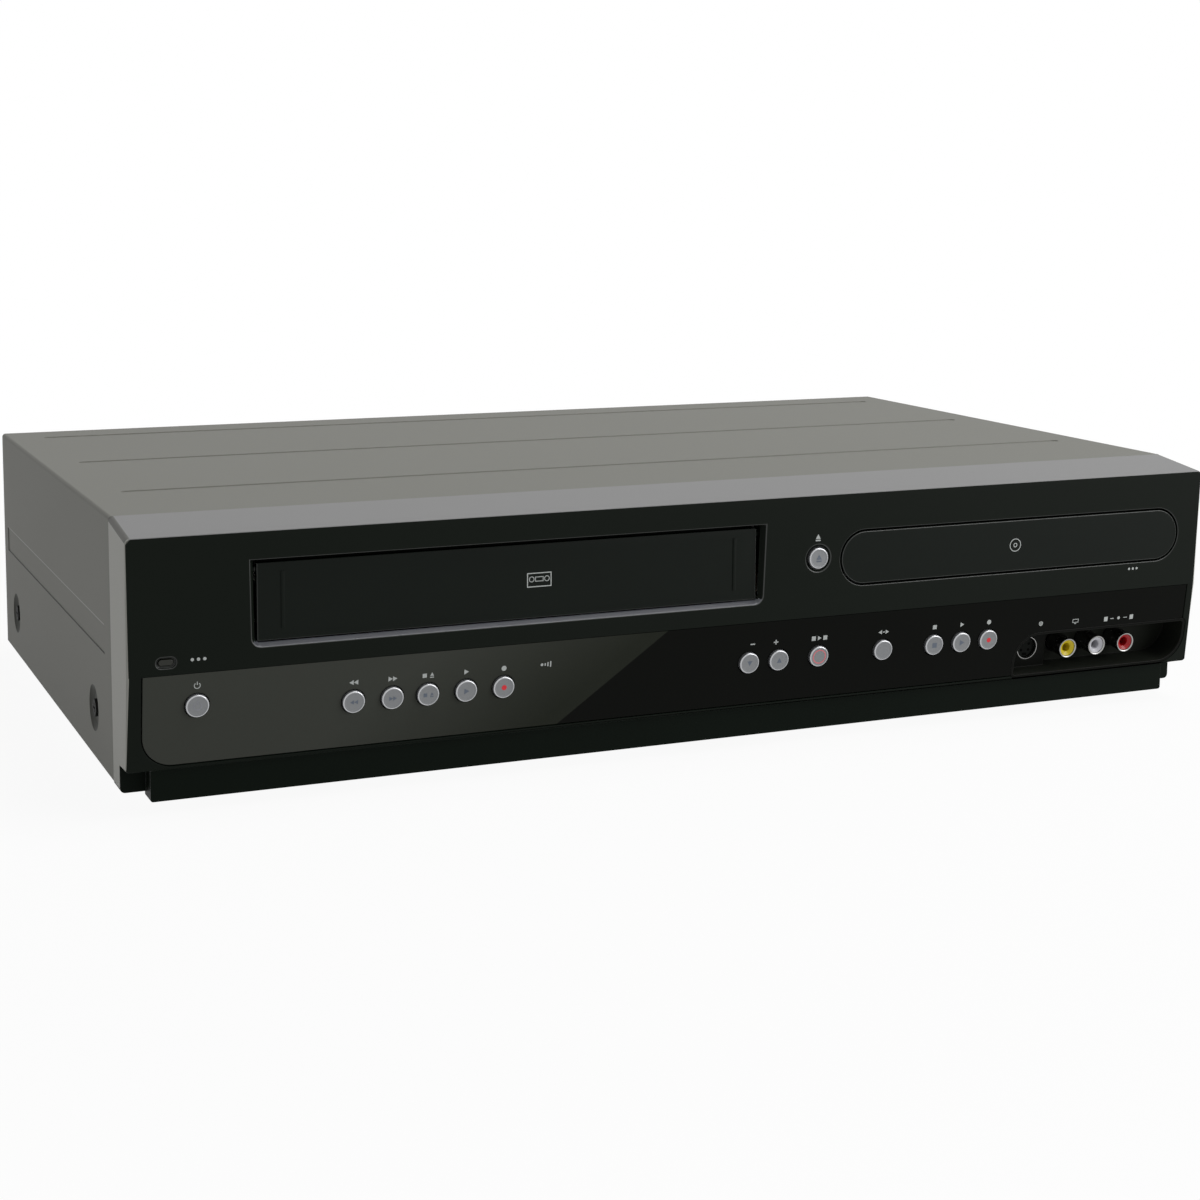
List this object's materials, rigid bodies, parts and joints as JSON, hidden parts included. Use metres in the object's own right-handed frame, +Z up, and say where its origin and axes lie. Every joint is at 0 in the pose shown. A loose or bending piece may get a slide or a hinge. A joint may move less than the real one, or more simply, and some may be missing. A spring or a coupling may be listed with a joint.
{
  "type": "disc and tape recorder combination",
  "caption": "Low wide home deck with a cassette slot, a disc tray, a smoked control panel with round push buttons, and a recess with sockets.",
  "frame": {"origin": "on the shelf, under the middle of the overall footprint", "axes": "+X to the right of someone facing the front, +Y to the rear, +Z up"},
  "size_m": [0.435, 0.268, 0.0995],
  "materials": {
    "painted_cover": "satin grey paint",
    "zinc_sheet": "zinc plated",
    "front_black": "fine textured black, with silver grey paint on its top border and sides",
    "smoked_panel": "smoked gloss",
    "lamp_red": "clear red",
    "black_plastic": "satin",
    "door_black": "semi gloss black",
    "button_silver": "silver grey lacquer",
    "jack_parts": "metal rims round coloured insulators",
    "foot_rubber": "moulded",
    "screw_steel": "nickel plated",
    "circuit_board": "green resist with components",
    "supply_board": "brown board with components",
    "display_glass": "dark display glass",
    "tin_sheet": "tinned",
    "ribbon": "flat cable",
    "polished_aluminium": "turned and polished",
    "ground_steel": "ground",
    "white_moulding": "natural moulding",
    "roller_rubber": "ground rubber",
    "dark_moulding": "fine textured"
  },
  "bodies": {
    "case": {"top_cover": "painted_cover", "chassis_tray": "zinc_sheet", "rear_panel": "zinc_sheet", "front_bezel": "front_black", "control_panel": "smoked_panel", "led_lens": "lamp_red", "jack_tub": "black_plastic", "front_jacks": "jack_parts", "feet": "foot_rubber", "case_screws": "screw_steel", "key_boards": "circuit_board", "display_module": "display_glass", "main_board": "circuit_board", "power_supply": "supply_board", "tuner": "tin_sheet", "rear_jacks": "jack_parts", "antenna_jacks": "screw_steel", "cord_gland": "black_plastic", "fan_frame": "black_plastic", "ribbon_cables": "ribbon", "deck_plate": "zinc_sheet", "cassette_guides": "zinc_sheet", "drum_base": "polished_aluminium", "tape_heads": "ground_steel", "drive_base": "dark_moulding", "clamp_bridge": "zinc_sheet"},
    "door": {"cassette_door": "door_black"},
    "carriage": {"cassette_carriage": "zinc_sheet"},
    "holder": {"cassette_holder": "ground_steel"},
    "drum": {"head_drum": "polished_aluminium"},
    "supply": {"supply_reel": "white_moulding"},
    "takeup": {"takeup_reel": "white_moulding"},
    "capstan": {"capstan": "ground_steel"},
    "pinch_arm": {"pinch_arm": "zinc_sheet"},
    "pinch_roller": {"pinch_roller": "roller_rubber"},
    "guide_left": {"guide_supply": "ground_steel"},
    "guide_right": {"guide_takeup": "ground_steel"},
    "cam": {"cam_gear": "white_moulding"},
    "tray": {"disc_tray": "dark_moulding", "tray_front": "door_black"},
    "tray_gear": {"tray_gear": "white_moulding"},
    "traverse": {"traverse": "dark_moulding"},
    "turntable": {"spindle_hub": "white_moulding"},
    "sled": {"laser_sled": "dark_moulding"},
    "clamp": {"disc_clamp": "white_moulding"},
    "fan": {"fan_rotor": "black_plastic"},
    "standby": {"standby_button": "button_silver"},
    "rewind": {"rewind_button": "button_silver"},
    "forward": {"forward_button": "button_silver"},
    "tape_stop": {"tape_stop_button": "button_silver"},
    "tape_play": {"tape_play_button": "button_silver"},
    "tape_record": {"tape_record_button": "button_silver"},
    "tracking_down": {"tracking_down_button": "button_silver"},
    "tracking_up": {"tracking_up_button": "button_silver"},
    "dubbing": {"dubbing_button": "button_silver"},
    "source": {"source_button": "button_silver"},
    "disc_stop": {"disc_stop_button": "button_silver"},
    "disc_play": {"disc_play_button": "button_silver"},
    "disc_record": {"disc_record_button": "button_silver"},
    "open_close": {"open_close_button": "button_silver"}
  },
  "joints": [
    {"name": "tray_slide", "type": "slide", "parent": "case", "child": "tray", "axis": [0, -1, 0], "range_m": [0, 0.138]},
    {"name": "door_hinge", "type": "hinge", "parent": "case", "child": "door", "pos_m": [-0.0788, -0.1286, 0.0824], "axis": [1, 0, 0], "range_deg": [0, 80], "stiffness_Nm_per_rad": 0.02},
    {"name": "carriage_slide", "type": "slide", "parent": "case", "child": "carriage", "axis": [0, 1, 0], "range_m": [0, 0.06]},
    {"name": "holder_drop", "type": "slide", "parent": "carriage", "child": "holder", "axis": [0, 0, -1], "range_m": [0, 0.0215]},
    {"name": "cam_turn", "type": "hinge", "parent": "case", "child": "cam", "pos_m": [-0.1408, 0.072, 0.028], "axis": [0, 0, 1], "range_deg": [0, 300]},
    {"name": "left_guide_slide", "type": "slide", "parent": "case", "child": "guide_left", "axis": [0, 1, 0], "range_m": [0, 0.038]},
    {"name": "right_guide_slide", "type": "slide", "parent": "case", "child": "guide_right", "axis": [0, 1, 0], "range_m": [0, 0.038]},
    {"name": "pinch_swing", "type": "hinge", "parent": "case", "child": "pinch_arm", "pos_m": [0.0072, 0.022, 0.046], "axis": [0, 0, 1], "range_deg": [0, 35]},
    {"name": "traverse_tilt", "type": "hinge", "parent": "case", "child": "traverse", "pos_m": [0.1288, 0.018, 0.0582], "axis": [1, 0, 0], "range_deg": [0, 5]},
    {"name": "sled_slide", "type": "slide", "parent": "traverse", "child": "sled", "axis": [0, 1, 0], "range_m": [0, 0.034]},
    {"name": "tray_gear_turn", "type": "hinge", "parent": "case", "child": "tray_gear", "pos_m": [0.0833, -0.1, 0.0596], "axis": [0, 0, 1], "range_deg": [0, 1100]},
    {"name": "drum_spin", "type": "hinge", "parent": "case", "child": "drum", "pos_m": [-0.0788, 0.054, 0.0394], "axis": [0, -0.0958, 0.9954], "continuous": true},
    {"name": "supply_reel_spin", "type": "hinge", "parent": "case", "child": "supply", "pos_m": [-0.1248, -0.046, 0.036], "axis": [0, 0, 1], "continuous": true},
    {"name": "takeup_reel_spin", "type": "hinge", "parent": "case", "child": "takeup", "pos_m": [-0.0328, -0.046, 0.036], "axis": [0, 0, 1], "continuous": true},
    {"name": "capstan_spin", "type": "hinge", "parent": "case", "child": "capstan", "pos_m": [-0.0128, 0.006, 0.034], "axis": [0, 0, 1], "continuous": true},
    {"name": "pinch_roller_spin", "type": "hinge", "parent": "pinch_arm", "child": "pinch_roller", "pos_m": [-0.01337, 0.02749, 0.05], "axis": [0, 0, 1], "continuous": true},
    {"name": "turntable_spin", "type": "hinge", "parent": "traverse", "child": "turntable", "pos_m": [0.1288, -0.054, 0.0636], "axis": [0, 0, 1], "continuous": true},
    {"name": "clamp_spin", "type": "hinge", "parent": "case", "child": "clamp", "pos_m": [0.1288, -0.054, 0.0776], "axis": [0, 0, 1], "continuous": true},
    {"name": "fan_spin", "type": "hinge", "parent": "case", "child": "fan", "pos_m": [0.07, 0.118, 0.052], "axis": [0, 1, 0], "continuous": true},
    {"name": "standby_press", "type": "slide", "parent": "case", "child": "standby", "axis": [0, 0.9915, 0.1303], "range_m": [0, 0.0008], "stiffness_N_per_m": 400},
    {"name": "rewind_press", "type": "slide", "parent": "case", "child": "rewind", "axis": [0, 0.9915, 0.1303], "range_m": [0, 0.0008], "stiffness_N_per_m": 400},
    {"name": "forward_press", "type": "slide", "parent": "case", "child": "forward", "axis": [0, 0.9915, 0.1303], "range_m": [0, 0.0008], "stiffness_N_per_m": 400},
    {"name": "tape_stop_press", "type": "slide", "parent": "case", "child": "tape_stop", "axis": [0, 0.9915, 0.1303], "range_m": [0, 0.0008], "stiffness_N_per_m": 400},
    {"name": "tape_play_press", "type": "slide", "parent": "case", "child": "tape_play", "axis": [0, 0.9915, 0.1303], "range_m": [0, 0.0008], "stiffness_N_per_m": 400},
    {"name": "tape_record_press", "type": "slide", "parent": "case", "child": "tape_record", "axis": [0, 0.9915, 0.1303], "range_m": [0, 0.0008], "stiffness_N_per_m": 400},
    {"name": "tracking_down_press", "type": "slide", "parent": "case", "child": "tracking_down", "axis": [0, 0.9915, 0.1303], "range_m": [0, 0.0008], "stiffness_N_per_m": 400},
    {"name": "tracking_up_press", "type": "slide", "parent": "case", "child": "tracking_up", "axis": [0, 0.9915, 0.1303], "range_m": [0, 0.0008], "stiffness_N_per_m": 400},
    {"name": "dubbing_press", "type": "slide", "parent": "case", "child": "dubbing", "axis": [0, 0.9915, 0.1303], "range_m": [0, 0.0008], "stiffness_N_per_m": 400},
    {"name": "source_press", "type": "slide", "parent": "case", "child": "source", "axis": [0, 0.9915, 0.1303], "range_m": [0, 0.0008], "stiffness_N_per_m": 400},
    {"name": "disc_stop_press", "type": "slide", "parent": "case", "child": "disc_stop", "axis": [0, 0.9915, 0.1303], "range_m": [0, 0.0008], "stiffness_N_per_m": 400},
    {"name": "disc_play_press", "type": "slide", "parent": "case", "child": "disc_play", "axis": [0, 0.9915, 0.1303], "range_m": [0, 0.0008], "stiffness_N_per_m": 400},
    {"name": "disc_record_press", "type": "slide", "parent": "case", "child": "disc_record", "axis": [0, 0.9915, 0.1303], "range_m": [0, 0.0008], "stiffness_N_per_m": 400},
    {"name": "open_close_press", "type": "slide", "parent": "case", "child": "open_close", "axis": [0, 0.9995, 0.03], "range_m": [0, 0.0008], "stiffness_N_per_m": 400}
  ],
  "couplings": [
    {"joint": "right_guide_slide", "follows": "left_guide_slide", "ratio": 1},
    {"joint": "cam_turn", "follows": "left_guide_slide", "rad_per_m": 137.79},
    {"joint": "tray_gear_turn", "follows": "tray_slide", "rad_per_m": 138.91},
    {"joint": "clamp_spin", "follows": "turntable_spin", "ratio": 1}
  ]
}
